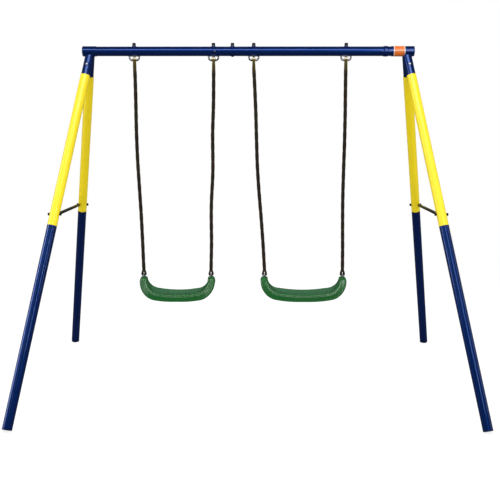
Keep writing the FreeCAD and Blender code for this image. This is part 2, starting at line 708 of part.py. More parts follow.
def hanger_stirrups():
    """A curved plate under the beam with a round-wire stirrup welded to it."""
    body = doc.addObject("PartDesign::Body", "stirrup_wire")
    spine = new_sketch(body, "stirrup_spine", "XZ_Plane")
    half, bend = "stirrup_half", "stirrup_bend"
    plate_low = "0 - beam_radius - slip - saddle_thick / 2"
    bottom = "0 - stirrup_drop"
    stations = [
        (f"0 - {half}", plate_low),
        (f"0 - {half}", f"{bottom} + {bend}"),
        (f"0 - {half} + {bend}", bottom),
        (f"{half} - {bend}", bottom),
        (half, f"{bottom} + {bend}"),
        (half, plate_low),
    ]
    points = [Vector(size(x), size(z), 0) for x, z in stations]
    radius = size(bend)
    left_centre = points[1] + Vector(radius, 0, 0)
    right_centre = points[4] - Vector(radius, 0, 0)
    normal = Vector(0, 0, 1)
    arm_a = spine.addGeometry(Part.LineSegment(points[0], points[1]))
    turn_a = spine.addGeometry(
        Part.ArcOfCircle(Part.Circle(left_centre, normal, radius), math.pi, 1.5 * math.pi))
    bar = spine.addGeometry(Part.LineSegment(points[2], points[3]))
    turn_b = spine.addGeometry(
        Part.ArcOfCircle(Part.Circle(right_centre, normal, radius), 1.5 * math.pi, 2 * math.pi))
    arm_b = spine.addGeometry(Part.LineSegment(points[4], points[5]))
    for line, first in ((arm_a, 0), (bar, 2), (arm_b, 4)):
        pin_point(spine, line, 1, *stations[first])
        pin_point(spine, line, 2, *stations[first + 1])
    for arc, before, after in ((turn_a, arm_a, bar), (turn_b, bar, arm_b)):
        spine.addConstraint(Sketcher.Constraint("Coincident", before, 2, arc, 1))
        spine.addConstraint(Sketcher.Constraint("Coincident", arc, 2, after, 1))
    for arc, across in ((turn_a, stations[2][0]), (turn_b, stations[3][0])):
        index = spine.addConstraint(Sketcher.Constraint("DistanceX", -1, 1, arc, 3, size(across)))
        spine.setExpression(f"Constraints[{index}]", bound(across))
    section = new_sketch(body, "stirrup_section", "XY_Plane")
    section.AttachmentOffset = Placement(Vector(0, 0, size(plate_low)), Rotation())
    section.setExpression("AttachmentOffset.Base.z", bound(plate_low))
    section.addGeometry(Part.Circle(Vector(size(f"0 - {half}"), 0, 0), normal, size("wire_radius")))
    pin_point(section, 0, 3, f"0 - {half}", "0")
    index = section.addConstraint(Sketcher.Constraint("Radius", 0, size("wire_radius")))
    section.setExpression(f"Constraints[{index}]", bound("wire_radius"))
    wire = body.newObject("PartDesign::AdditivePipe", "stirrup_bent_wire")
    wire.Profile = section
    wire.Spine = (spine, [])

    lying = facing(Vector(-size("saddle_half"), 0, 0), ALONG)
    outer = cylinder("saddle_outer", "beam_radius + slip + saddle_thick", "2 * saddle_half", lying)
    block = doc.addObject("Part::Box", "saddle_block")
    block.setExpression("Length", bound("2 * saddle_half"))
    block.setExpression("Width", bound("2 * saddle_wide"))
    block.setExpression("Height", bound("2 * beam_radius"))
    corner = Vector(-size("saddle_half"), -size("saddle_wide"), -2 * beam_radius)
    block.Placement = Placement(corner, Rotation())
    strip = doc.addObject("Part::Common", "saddle_strip")
    strip.Base = outer
    strip.Tool = block
    tools = [
        cylinder("saddle_inner", "beam_radius + slip", "2 * saddle_half", lying),
        cylinder("saddle_hole", "bolt_radius + hole_gap", "3 * beam_radius",
                 Placement(Vector(0, 0, -3 * beam_radius), Rotation())),
    ]
    hanger = without("hanger", joined("hanger_solid", [strip, body]), tools)
    repeated("hanger_stirrups", hanger,
             [Placement(on_beam(x), Rotation()) for x in hanger_positions()])


# ---- ropes -------------------------------------------------------------------------------


def over_the_bar(pivot, radius, reach):
    """Path of a strand that comes up, turns over a bar along X and goes down again."""
    def at(y, z):
        return pivot + Vector(0, y, z)

    return Part.Wire([
        Part.LineSegment(at(-radius, -reach), at(-radius, 0)).toShape(),
        Part.Arc(at(-radius, 0), at(0, radius), at(radius, 0)).toShape(),
        Part.LineSegment(at(radius, 0), at(radius, -reach)).toShape(),
    ])


def swept(path, profile):
    return path.makePipeShell([profile], True, False)


def stirrup_pivot(top_x):
    return Vector(top_x, 0, beam_height - size("stirrup_drop"))


def fold_radius():
    return size("wire_radius + run_gap + hose_wall + strand_thick")


def rope_shape(top_x, eye_x):
    """A rope folded over a stirrup at the top and looped through a seat eye at the bottom."""
    pivot = stirrup_pivot(top_x)
    eye = Vector(eye_x, 0, size("eye_height"))
    radius = size("rope_radius")
    strand = size("strand_thick")
    fold = fold_radius()
    leg = size("fold_leg")
    upper = swept(over_the_bar(pivot, fold, leg),
                  level_oval(pivot + Vector(0, -fold, -leg), radius - size("slip"), strand))

    loop = size("loop_radius")
    bend = size("loop_bend")
    flat = size("eye_half")
    top = bend + size("loop_rise")
    spread = flat + bend

    def at(x, z):
        return eye + Vector(x, 0, z)

    turn = bend * (1 - math.sqrt(0.5))
    path = Part.Wire([
        Part.LineSegment(at(-spread, top), at(-spread, bend)).toShape(),
        Part.Arc(at(-spread, bend), at(-spread + turn, turn), at(-flat, 0)).toShape(),
        Part.LineSegment(at(-flat, 0), at(flat, 0)).toShape(),
        Part.Arc(at(flat, 0), at(spread - turn, turn), at(spread, bend)).toShape(),
        Part.LineSegment(at(spread, bend), at(spread, top)).toShape(),
    ])
    lower = swept(path, level_oval(at(-spread, top), loop, loop))

    lap = size("neck_lap")
    neck_low = eye + Vector(0, 0, top - lap)
    neck_high = pivot - Vector(0, 0, leg - lap)
    length = Part.makeLoft([
        level_oval(neck_low, spread + loop, loop),
        level_oval(neck_low + Vector(0, 0, size("loop_neck")), radius, radius),
        level_oval(neck_high - Vector(0, 0, size("fold_neck")), radius, radius),
        level_oval(neck_high, radius, fold + strand),
    ], True, True)
    return length.fuse(upper).fuse(lower)


def hose_shape(top_x):
    """A short sleeve around the rope, over the top of the stirrup's bar."""
    pivot = stirrup_pivot(top_x)
    turn = math.radians(size("hose_angle"))
    fold = fold_radius()
    ends = [pivot + Vector(0, way * math.sin(turn), math.cos(turn)) * fold for way in (-1, 1)]
    path = Part.Wire([Part.Arc(ends[0], pivot + UP * fold, ends[1]).toShape()])
    across = (ends[0] - pivot).normalize()
    outside = oval(ends[0], ALONG * size("hose_wide"), across * size("strand_thick + hose_wall"))
    inside = oval(ends[0], ALONG * size("rope_radius"), across * size("strand_thick + slip"))
    return swept(path, outside).cut(swept(path, inside))


def ropes(swing, tops, eyes):
    for place, top_x, eye_x in zip(("left", "right"), tops, eyes):
        feature = doc.addObject("Part::Feature", f"{swing}_swing_rope_{place}")
        feature.Shape = rope_shape(top_x, eye_x)
        keep(feature, f"{swing}_swing_rope_{place}")
    hoses = doc.addObject("Part::Feature", f"{swing}_swing_rope_sleeves")
    hoses.Shape = Part.makeCompound([hose_shape(x) for x in tops])
    keep(hoses, f"{swing}_swing_rope_sleeves")


# ---- seats -------------------------------------------------------------------------------


def seat_line(half_span):
    """Points down one half of the seating line, each (x, z, lean).

    lean is 90 degrees where the seat stands upright and 0 in its middle. The line is a
    short upright, a tight bend, and a wide arc to the middle."""
    bend = size("seat_bend")
    slope = size("seat_slope")
    low = size("seat_low")
    run = half_span - bend + bend * math.sin(math.radians(slope))
    wide = run / math.sin(math.radians(slope))
    bend_end = low + wide * (1 - math.cos(math.radians(slope)))
    bend_centre = bend_end + bend * math.cos(math.radians(slope))
    line = []
    for lean in (90.0, 76.0, 62.0, 48.0, 34.0, 22.0):
        turn = math.radians(lean)
        line.append((half_span - bend + bend * math.sin(turn), bend_centre - bend * math.cos(turn), lean))
    for lean in (slope, slope * 2 / 3, slope / 3, 0.0):
        turn = math.radians(lean)
        line.append((wide * math.sin(turn), low + wide * (1 - math.cos(turn)), lean))
    return line


def seat_stations(half_span):
    """Sections down one half of a seat, each (x, z, lean, half width, extra depth, dome).

    dome is how much narrower a section is all round, near the rounded top of an end."""
    line = seat_line(half_span)
    top, dome = size("seat_top"), size("seat_dome")
    tip, middle = size("seat_tip"), size("seat_mid")
    travelled = [top - line[0][1]]
    for before, after in zip(line, line[1:]):
        travelled.append(travelled[-1] + math.dist(before[:2], after[:2]))
    stations = []
    for turn in (0, 25, 50, 90):
        below = dome * (1 - math.cos(math.radians(turn)))
        inset = dome * (1 - math.sin(math.radians(turn)))
        stations.append((half_span, top - below, 90.0, tip, 0.0, inset))
    for (x, z, lean), distance in zip(line, travelled):
        if z > stations[-1][1] - dome / 2 and lean > 89:
            continue
        share = math.sin(math.pi / 2 * min(1, size("seat_fill") * distance / travelled[-1]))
        swell = size("seat_swell") * math.sqrt(math.sin(math.radians(2 * lean)))
        stations.append((x, z, lean, tip + (middle - tip) * share, swell, 0.0))
    return stations


def seat_section(centre_x, station, side, near, far, trim):
    """A rounded rectangle square to the seating line, from near to far below it."""
    x, z, lean, half_width, swell, inset = station
    down = Vector(side * math.sin(math.radians(lean)), 0, -math.cos(math.radians(lean)))
    across = Vector(0, 1, 0)
    start = Vector(centre_x + side * x, 0, z)
    half = half_width - trim - inset
    near = near + inset
    far = far + swell - inset
    upright = math.sin(math.radians(lean)) ** 2
    rim = size("seat_round") - trim - inset
    heel = size("seat_foot") + size("seat_heel - seat_foot") * upright - inset

    def at(y, depth):
        return start + across * y + down * depth

    def corner(y_sign, depth, inward, radius):
        """An arc from the edge at this depth to one side, going inward along the depth."""
        ease = radius * (1 - math.sqrt(0.5))
        return Part.Arc(at(y_sign * (half - radius), depth),
                        at(y_sign * (half - ease), depth + inward * ease),
                        at(y_sign * half, depth + inward * radius))

    edges = [
        Part.LineSegment(at(-half + rim, near), at(half - rim, near)),
        corner(1, near, 1, rim),
        Part.LineSegment(at(half, near + rim), at(half, far - heel)),
        corner(1, far, -1, heel),
        Part.LineSegment(at(half - heel, far), at(-half + heel, far)),
        corner(-1, far, -1, heel),
        Part.LineSegment(at(-half, far - heel), at(-half, near + rim)),
        corner(-1, near, 1, rim),
    ]
    return Part.Wire(Part.__sortEdges__([edge.toShape() for edge in edges]))


def seat(swing, eyes):
    """A moulded sling seat: a channel, open below, whose solid ends hold the eyes."""
    centre = sum(eyes) / 2
    thick = size("seat_thick")
    wall = size("seat_wall")
    half_span = (eyes[1] - eyes[0]) / 2 - thick / 2
    stations = seat_stations(half_span)
    hollow = [station for station in stations if station[2] < 70]

    def loft(chosen, near, far, trim):
        left = [seat_section(centre, station, -1, near, far, trim) for station in chosen]
        right = [seat_section(centre, station, 1, near, far, trim) for station in chosen[:-1]]
        return Part.makeLoft(left + right[::-1], True, True)

    shell = loft(stations, 0.0, thick, 0.0).cut(loft(hollow, wall, thick + 4 * wall, wall))
    for eye_x in eyes:
        stem_hole = Part.makeCylinder(size("stem_radius + slip"), size("stem_long + slip"),
                                      Vector(eye_x, 0, size("seat_top")), UP * -1)
        shell = shell.cut(stem_hole)
    feature = doc.addObject("Part::Feature", f"{swing}_seat")
    feature.Shape = shell
    keep(feature, f"{swing}_seat")


def seat_eyes():
    """Screwed-in eyes at the seat ends; each eye's hole is a hinge along X."""
    ring = cylinder("eye_ring", "eye_radius", "2 * eye_half",
                    facing(Vector(-size("eye_half"), 0, 0), ALONG))
    reach = "eye_height - seat_top + stem_long"
    stem = cylinder("eye_stem", "stem_radius", reach, facing(Vector(0, 0, 0), UP * -1))
    collar = cylinder("eye_collar", "eye_collar", "collar_thick",
                      Placement(UP * size("seat_top - eye_height"), Rotation()))
    hole = cylinder("eye_hole", "loop_radius + run_gap", "4 * eye_radius",
                    facing(Vector(-2 * size("eye_radius"), 0, 0), ALONG))
    eye = without("seat_eye", joined("eye_solid", [ring, stem, collar]), [hole])
    for swing, _, eyes in SWINGS:
        repeated(f"{swing}_seat_eyes", eye,
                 [Placement(Vector(x, 0, size("eye_height")), Rotation()) for x in eyes])


# ---- assembly ----------------------------------------------------------------------------

beam_tubes()
end_plugs()
tee_connectors()
coloured_band()
legs()
for side_name, side in SIDES:
    brace(side_name, side)
beam_fasteners()
socket_fasteners()
brace_fasteners()
beam_screw()
hanger_stirrups()
for swing, tops, eyes in SWINGS:
    ropes(swing, tops, eyes)
    seat(swing, eyes)
seat_eyes()
doc.recompute()

for obj in doc.Objects:
    if "Invalid" in obj.State or "Error" in obj.State:
        raise RuntimeError(f"{obj.Name} failed: {obj.State}")

os.makedirs("parts", exist_ok=True)
for obj in sub_parts:
    shape = obj.Shape
    if shape.isNull() or not shape.isValid() or not shape.Solids:
        raise RuntimeError(f"{obj.Label} has no valid solid")
    shape.exportStep(os.path.join("parts", obj.Label + ".step"))
    print(f"{obj.Label}: {len(shape.Solids)} solid(s), {shape.Volume / 1000:.1f} cm3")
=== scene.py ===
import json
import math

import bpy
import numpy as np
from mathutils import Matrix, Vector


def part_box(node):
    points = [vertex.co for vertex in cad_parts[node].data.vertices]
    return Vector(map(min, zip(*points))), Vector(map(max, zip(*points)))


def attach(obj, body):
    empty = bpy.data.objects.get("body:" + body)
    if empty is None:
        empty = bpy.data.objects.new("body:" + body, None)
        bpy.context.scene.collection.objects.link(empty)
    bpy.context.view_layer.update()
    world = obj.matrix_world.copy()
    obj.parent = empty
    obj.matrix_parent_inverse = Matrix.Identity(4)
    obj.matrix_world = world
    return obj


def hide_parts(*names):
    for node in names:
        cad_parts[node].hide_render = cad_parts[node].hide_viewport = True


# Two-seat swing set. The CAD frame is loaded and keeps its shapes; the ropes and the seats are
# built here as soft and moulded forms around the CAD's hinges and boxes. Metres, +Z up.

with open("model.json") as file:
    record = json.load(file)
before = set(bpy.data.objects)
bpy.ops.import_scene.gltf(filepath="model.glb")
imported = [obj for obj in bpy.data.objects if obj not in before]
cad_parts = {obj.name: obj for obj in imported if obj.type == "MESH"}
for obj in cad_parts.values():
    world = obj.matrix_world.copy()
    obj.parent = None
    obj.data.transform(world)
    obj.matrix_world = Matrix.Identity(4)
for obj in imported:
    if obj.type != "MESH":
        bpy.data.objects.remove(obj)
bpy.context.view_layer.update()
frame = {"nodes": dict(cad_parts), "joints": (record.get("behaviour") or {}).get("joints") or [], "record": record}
nodes = frame["nodes"]
hinge_at = {joint["name"]: Vector(joint["pos_m"]) for joint in frame["joints"]}
MM = 0.001
TURN = 2 * math.pi
EDGE_NONE, EDGE_FULL = 0.995, 0.86      # cosine between the true and the rounded-off normal
SHADE = 0.75                            # the darker tone of a cloudy paint
PLASTIC_SHADE = 0.8                     # the same for a plastic's flow marks


# ---- node materials ----------------------------------------------------------------------


class Shader:
    """The node tree of a new material or world, with short calls for the nodes it needs."""

    def __init__(self, owner):
        owner.use_nodes = True
        self.owner = owner
        self.tree = owner.node_tree
        self.tree.nodes.clear()

    def add(self, kind, *inputs, **settings):
        """A node. Inputs go to its sockets in order; settings name a property or a socket.

        Properties are set first, because some of them change which sockets a node has."""
        item = self.tree.nodes.new("ShaderNode" + kind)
        for key, value in settings.items():
            if hasattr(item, key):
                setattr(item, key, value)
        for index, value in enumerate(inputs):
            self.feed(item.inputs[index], value)
        for key, value in settings.items():
            if not hasattr(item, key):
                self.feed(item.inputs[key.replace("_", " ")], value)
        return item

    def feed(self, socket, value):
        """Link a socket into the input, or set the input to a plain value."""
        if isinstance(value, bpy.types.NodeSocket):
            self.tree.links.new(value, socket)
        elif value is not None:
            socket.default_value = value

    def math(self, operation, *values):
        return self.add("Math", *values, operation=operation).outputs[0]

    def blend(self, amount, first, second, mode="MIX"):
        return self.add("MixRGB", amount, first, second, blend_type=mode).outputs[0]

    def ramp(self, value, low, high, out_low=0.0, out_high=1.0):
        item = self.add("MapRange", value, low, high, out_low, out_high)
        item.clamp = True
        return item.outputs[0]

    def position(self):
        return self.add("NewGeometry").outputs["Position"]

    def noise(self, scale, detail=3.0, stretch=(1, 1, 1), roughness=0.5):
        place = self.add("Mapping", self.add("TexCoord").outputs["Object"], Scale=stretch)
        return self.add("TexNoise", Vector=place.outputs[0], Scale=scale, Detail=detail,
                        Roughness=roughness).outputs[0]

    def edges(self, radius):
        """How near an edge is, 1 on it and 0 on a smooth face, and the rounded-off normal."""
        soft = self.add("Bevel", radius, samples=4)
        plain = self.add("NewGeometry").outputs["Normal"]
        facing = self.add("VectorMath", soft.outputs[0], plain, operation="DOT_PRODUCT").outputs["Value"]
        return self.ramp(facing, EDGE_NONE, EDGE_FULL), soft.outputs[0]

    def bump(self, height, strength, distance, normal=None):
        return self.add("Bump", Strength=strength, Distance=distance, Height=height,
                        Normal=normal).outputs[0]

    def end(self, shader, kind="OutputMaterial"):
        self.add(kind, shader.outputs[0])
        return self.owner

    def finish(self, **inputs):
        return self.end(self.add("BsdfPrincipled", **inputs))


def rgb(red, green, blue):
    return (red, green, blue, 1.0)


def shaded(colour, amount):
    """The colour darkened to a share of its brightness."""
    return rgb(*(channel * amount for channel in colour[:3]))


def powder_coat(name, colour, worn, sheen, rough, index, coat):
    """Gloss powder coat: orange peel, cloudy gloss, hairline scuffs and worn edges.

    sheen colours the broad reflection under the clear coat, and index sets its strength."""
    s = Shader(bpy.data.materials.new(name))
    edge, soft = s.edges(0.8 * MM)
    cloud = s.noise(5.0, 4.0)
    tone = s.blend(s.ramp(cloud, 0.3, 0.7, 0.0, 0.3), colour, shaded(colour, SHADE))
    scratch = s.noise(38.0, 5.0, (1.0, 1.0, 9.0), 0.7)
    grit = s.noise(420.0, 2.0)
    scuffs = s.math("MULTIPLY", s.ramp(scratch, 0.66, 0.74), s.ramp(grit, 0.5, 0.62))
    chips = s.math("MULTIPLY", edge, s.ramp(s.noise(260.0, 3.0), 0.52, 0.66))
    tone = s.blend(s.math("MULTIPLY", scuffs, 0.25), tone, worn)
    tone = s.blend(s.math("MULTIPLY", chips, 0.4), tone, worn)
    gloss = s.math("ADD", s.ramp(cloud, 0.25, 0.75, rough * 0.85, rough * 1.2),
                   s.math("MULTIPLY", scuffs, 0.25))
    gloss = s.math("ADD", gloss, s.math("MULTIPLY", chips, 0.2))
    normal = s.bump(s.noise(330.0, 2.0), 0.08, 0.2 * MM, soft)
    return s.finish(Base_Color=tone, Roughness=gloss, Normal=normal, Coat_Weight=coat,
                    Coat_Roughness=0.07, Coat_Normal=soft, IOR=index, Specular_IOR_Level=0.8,
                    Specular_Tint=sheen)


def plated_steel(name):
    """Zinc plate: a fine spangle, drawn lines and dull patches."""
    s = Shader(bpy.data.materials.new(name))
    edge, soft = s.edges(0.5 * MM)
    cells = s.add("TexVoronoi", Vector=s.add("TexCoord").outputs["Object"], Scale=650.0)
    spangle = s.add("SeparateColor", cells.outputs["Color"]).outputs[0]
    dull = s.noise(90.0, 4.0)
    tone = s.blend(spangle, rgb(0.24, 0.25, 0.26), rgb(0.42, 0.44, 0.45))
    tone = s.blend(s.ramp(dull, 0.5, 0.75, 0.0, 0.5), tone, rgb(0.12, 0.115, 0.105))
    tone = s.blend(s.math("MULTIPLY", edge, 0.3), tone, rgb(0.55, 0.55, 0.55))
    gloss = s.math("ADD", s.ramp(dull, 0.3, 0.7, 0.22, 0.42), s.math("MULTIPLY", spangle, 0.08))
    normal = s.bump(s.noise(1500.0, 2.0), 0.1, 0.1 * MM, soft)
    return s.finish(Base_Color=tone, Metallic=1.0, Roughness=gloss, Normal=normal)


def moulded_plastic(name, colour, pale, rough, grain=900.0, glow=0.0, coat=0.0):
    """Moulded plastic: fine grain, faint flow marks and edges rubbed to the pale colour.

    grain is the texture's scale, and glow how much light passes a little way inside."""
    s = Shader(bpy.data.materials.new(name))
    edge = s.edges(1.2 * MM)[0]
    flow = s.noise(7.0, 4.0, (0.35, 1.0, 1.6))
    tone = s.blend(s.ramp(flow, 0.3, 0.7, 0.0, 0.5), colour, shaded(colour, PLASTIC_SHADE))
    rub = s.math("MULTIPLY", edge, s.ramp(s.noise(60.0, 4.0), 0.45, 0.7))
    tone = s.blend(s.math("MULTIPLY", rub, 0.25), tone, pale)
    fine = s.noise(grain, 2.0)
    wear = s.noise(26.0, 5.0, (1.0, 3.0, 1.0), 0.7)
    gloss = s.math("ADD", s.ramp(flow, 0.25, 0.75, rough * 0.85, rough * 1.15),
                   s.ramp(wear, 0.55, 0.8, 0.0, 0.06))
    normal = s.bump(fine, 0.06, 0.1 * MM)
    return s.finish(Base_Color=tone, Roughness=gloss, Normal=normal, Subsurface_Weight=glow,
                    Subsurface_Radius=(2 * MM, 2 * MM, 1.5 * MM), Subsurface_Scale=1.0,
                    Coat_Weight=coat, Coat_Roughness=0.12)


def rope_fibre():
    """Twisted yarns: the mesh gives the strands, the UVs run round and along each one."""
    s = Shader(bpy.data.materials.new("rope_fibre"))
    uv = s.add("SeparateXYZ", s.add("UVMap", uv_map="yarn").outputs[0])
    around, along = uv.outputs[0], uv.outputs[1]
    angle = s.math("ADD", s.math("MULTIPLY", around, TURN * 30), s.math("MULTIPLY", along, 900.0))
    thread = s.ramp(s.math("SINE", angle), -1.0, 1.0)
    fibre_place = s.add("CombineXYZ", s.math("MULTIPLY", around, 260.0), s.math("MULTIPLY", along, 260.0))
    fibre = s.add("TexNoise", Vector=fibre_place.outputs[0], Scale=1.0, Detail=3.0).outputs[0]
    patch = s.noise(9.0, 3.0, (1, 1, 0.7))
    tone = s.blend(s.ramp(patch, 0.38, 0.62), rgb(0.017, 0.010, 0.007), rgb(0.020, 0.019, 0.007))
    warm = s.noise(16.0, 2.0, (1, 1, 0.5))
    tone = s.blend(s.ramp(warm, 0.52, 0.66, 0.0, 0.8), tone, rgb(0.030, 0.013, 0.008))
    tone = s.blend(s.ramp(fibre, 0.45, 0.8, 0.0, 0.35), tone, rgb(0.045, 0.036, 0.018))
    # Painted shade: the grooves between the threads, where the bump sinks, are darkened towards near black.
    tone = s.blend(s.ramp(thread, 0.0, 0.6, 0.5, 0.0), tone, rgb(0.004, 0.003, 0.002))
    height = s.add("SeparateXYZ", s.position()).outputs[2]
    tone = s.blend(s.ramp(height, 1.665, 1.735, 0.0, 0.9), tone, rgb(0.115, 0.085, 0.012))
    relief = s.math("ADD", s.math("MULTIPLY", thread, 0.7), s.math("MULTIPLY", fibre, 0.5))
    normal = s.bump(relief, 0.6, 0.3 * MM)
    return s.finish(Base_Color=tone, Roughness=0.85, Normal=normal, Specular_IOR_Level=0.15,
                    Sheen_Weight=0.08, Sheen_Roughness=0.5, Sheen_Tint=rgb(0.35, 0.28, 0.18))


def printed_band():
    """Plain striped film: darker orange lines along it and a notched white border each side."""
    s = Shader(bpy.data.materials.new("orange_film"))
    low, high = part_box("beam_band")
    place = s.add("SeparateXYZ", s.position())
    across = s.ramp(place.outputs[0], low.x, high.x)
    middle = (low.z + high.z) / 2
    angle = s.math("ARCTAN2", s.math("SUBTRACT", place.outputs[2], middle), place.outputs[1])
    teeth = s.math("PINGPONG", s.math("MULTIPLY", angle, 28 / TURN), 0.5)
    border = s.math("ADD", 0.01, s.math("MULTIPLY", teeth, 0.13))
    from_side = s.math("MINIMUM", across, s.math("SUBTRACT", 1.0, across))
    stripe = s.ramp(s.math("SINE", s.math("MULTIPLY", angle, 14.0)), 0.1, 0.5)
    scuff = s.noise(120.0, 5.0, (1, 2, 1), 0.7)
    tone = s.blend(stripe, rgb(0.82, 0.19, 0.012), rgb(0.50, 0.075, 0.006))
    white = s.math("LESS_THAN", from_side, border)
    tone = s.blend(white, tone, rgb(0.80, 0.77, 0.72))
    tone = s.blend(s.ramp(scuff, 0.62, 0.78, 0.0, 0.5), tone, rgb(0.35, 0.28, 0.24))
    normal = s.bump(s.noise(700.0, 2.0), 0.08, 0.1 * MM)
    return s.finish(Base_Color=tone, Roughness=s.ramp(scuff, 0.4, 0.75, 0.22, 0.5), Normal=normal,
                    Coat_Weight=0.5, Coat_Roughness=0.1)


materials = {
    "navy_paint": powder_coat(
        "navy_paint", colour=rgb(0.0010, 0.0068, 0.049), worn=rgb(0.10, 0.14, 0.24),
        sheen=rgb(0.03, 0.20, 1.0), rough=0.30, index=1.75, coat=0.4),
    "yellow_paint": powder_coat(
        "yellow_paint", colour=rgb(0.93, 0.72, 0.003), worn=rgb(0.60, 0.48, 0.15),
        sheen=rgb(1.0, 1.0, 0.5), rough=0.34, index=1.5, coat=0.3),
    "black_paint": powder_coat(
        "black_paint", colour=rgb(0.004, 0.004, 0.005), worn=rgb(0.14, 0.14, 0.15),
        sheen=rgb(0.4, 0.4, 0.4), rough=0.42, index=1.4, coat=0.05),
    "zinc_steel": plated_steel("zinc_steel"),
    "black_plastic": moulded_plastic(
        "black_plastic", colour=rgb(0.005, 0.005, 0.007), pale=rgb(0.08, 0.08, 0.09), rough=0.38),
    "navy_plastic": moulded_plastic(
        "navy_plastic", colour=rgb(0.004, 0.014, 0.085), pale=rgb(0.06, 0.10, 0.25), rough=0.34),
    "orange_film": printed_band(),
    "rope_fibre": rope_fibre(),
    "cream_plastic": moulded_plastic(
        "cream_plastic", colour=rgb(0.86, 0.78, 0.56), pale=rgb(0.95, 0.9, 0.75), rough=0.36,
        grain=600.0, glow=0.15),
    "green_plastic": moulded_plastic(
        "green_plastic", colour=rgb(0.006, 0.106, 0.016), pale=rgb(0.05, 0.24, 0.09), rough=0.26,
        grain=500.0, coat=0.2),
}
for subpart in frame["record"]["subparts"]:
    mesh = nodes[subpart["node"]].data
    mesh.materials.clear()
    mesh.materials.append(materials[subpart["material_slot"]])


# ---- mesh helpers ------------------------------------------------------------------------


def ring_mesh(name, rings, slot, closed=False, caps=False, uv=None):
    """A mesh through rings, an array (ring, point, xyz). uv gives (ring count + 1) lengths."""
    count, points = rings.shape[:2]
    following = [(i + 1) % count for i in range(count)] if closed else list(range(1, count))
    faces, corners = [], []
    for i, j in enumerate(following):
        for k in range(points):
            m = (k + 1) % points
            faces.append((i * points + k, i * points + m, j * points + m, j * points + k))
            if uv is not None:
                a, b = k / points, (k + 1) / points
                corners += [a, uv[i], b, uv[i], b, uv[i + 1], a, uv[i + 1]]
    if caps:
        faces.append(tuple(reversed(range(points))))
        faces.append(tuple((count - 1) * points + k for k in range(points)))
    mesh = bpy.data.meshes.new(name)
    mesh.from_pydata(rings.reshape(-1, 3).tolist(), [], faces)
    if uv is not None:
        mesh.uv_layers.new(name="yarn").data.foreach_set("uv", corners)
    mesh.polygons.foreach_set("use_smooth", [True] * len(mesh.polygons))
    mesh.materials.append(materials[slot])
    obj = bpy.data.objects.new(name, mesh)
    bpy.context.scene.collection.objects.link(obj)
    return obj


def smooth_curve(values, positions, at):
    """Values given at positions, eased between them, for each number in at."""
    values, positions = np.array(values, float), np.array(positions, float)
    index = np.clip(np.searchsorted(positions, at, side="right") - 1, 0, len(positions) - 2)
    span = positions[index + 1] - positions[index]
    t = np.clip((at - positions[index]) / span, 0, 1)
    slopes = np.gradient(values, positions)
    h00, h10 = 2 * t**3 - 3 * t**2 + 1, t**3 - 2 * t**2 + t
    h01, h11 = -2 * t**3 + 3 * t**2, t**3 - t**2
    return (h00 * values[index] + h10 * span * slopes[index]
            + h01 * values[index + 1] + h11 * span * slopes[index + 1])


# ---- ropes -------------------------------------------------------------------------------

STRAND = 4.1 * MM           # half the depth of a strand in the laid part
FLAT = 1.3                  # a strand there is this much wider than deep
LAY_RADIUS = 5.8 * MM
FOLD = 9.85 * MM            # strand to hinge bar, where the rope is folded over
NECK_TOP = 40 * MM          # hinge bar to where the rope is fully laid
NECK_LOW = 30 * MM          # seat hinge to where the strands part
TURNS = 5                   # of the lay; a whole number, so that the strands meet in their corners
STEP = 4 * MM               # length of one step along the laid part
FOLD_STEPS = 8              # steps over a quarter of the hinge bar
EYE_STEPS = 22              # steps from the laid part to the middle of the seat eye
SWAY = 1.5 * MM             # how far a rope strays front to back
YARNS = 6                   # ridges round a strand
YARN_LAY = 42 * MM          # length in which the yarns go once round their strand

# Down from the hinge bar: how far below it, then each strand's x, y and radius, in mm.
TOP_FORM = ((0, 3.7, 9.85, 3.7), (12, 3.6, 9.5, 3.8), (22, 3.7, 7.4, 4.2), (32, 4.0, 5.1, 4.2),
            (40, 4.1, 4.1, 4.1))
# Around the seat eye: travel from the laid part, then height over the eye, x, y and radius.
LOW_FORM = ((0, 30, 4.1, 4.1, 4.1), (8, 22, 5.4, 4.0, 4.8), (16, 14.5, 7.4, 4.2, 5.0),
            (22, 9, 8.4, 4.3, 5.4), (27, 4.5, 8.7, 4.2, 5.2), (31, 1.2, 8.0, 3.7, 4.5),
            (35, -0.3, 5.8, 3.0, 3.2), (39, 0, 2.4, 2.5, 2.45), (41.4, 0, 0, 2.5, 2.45))


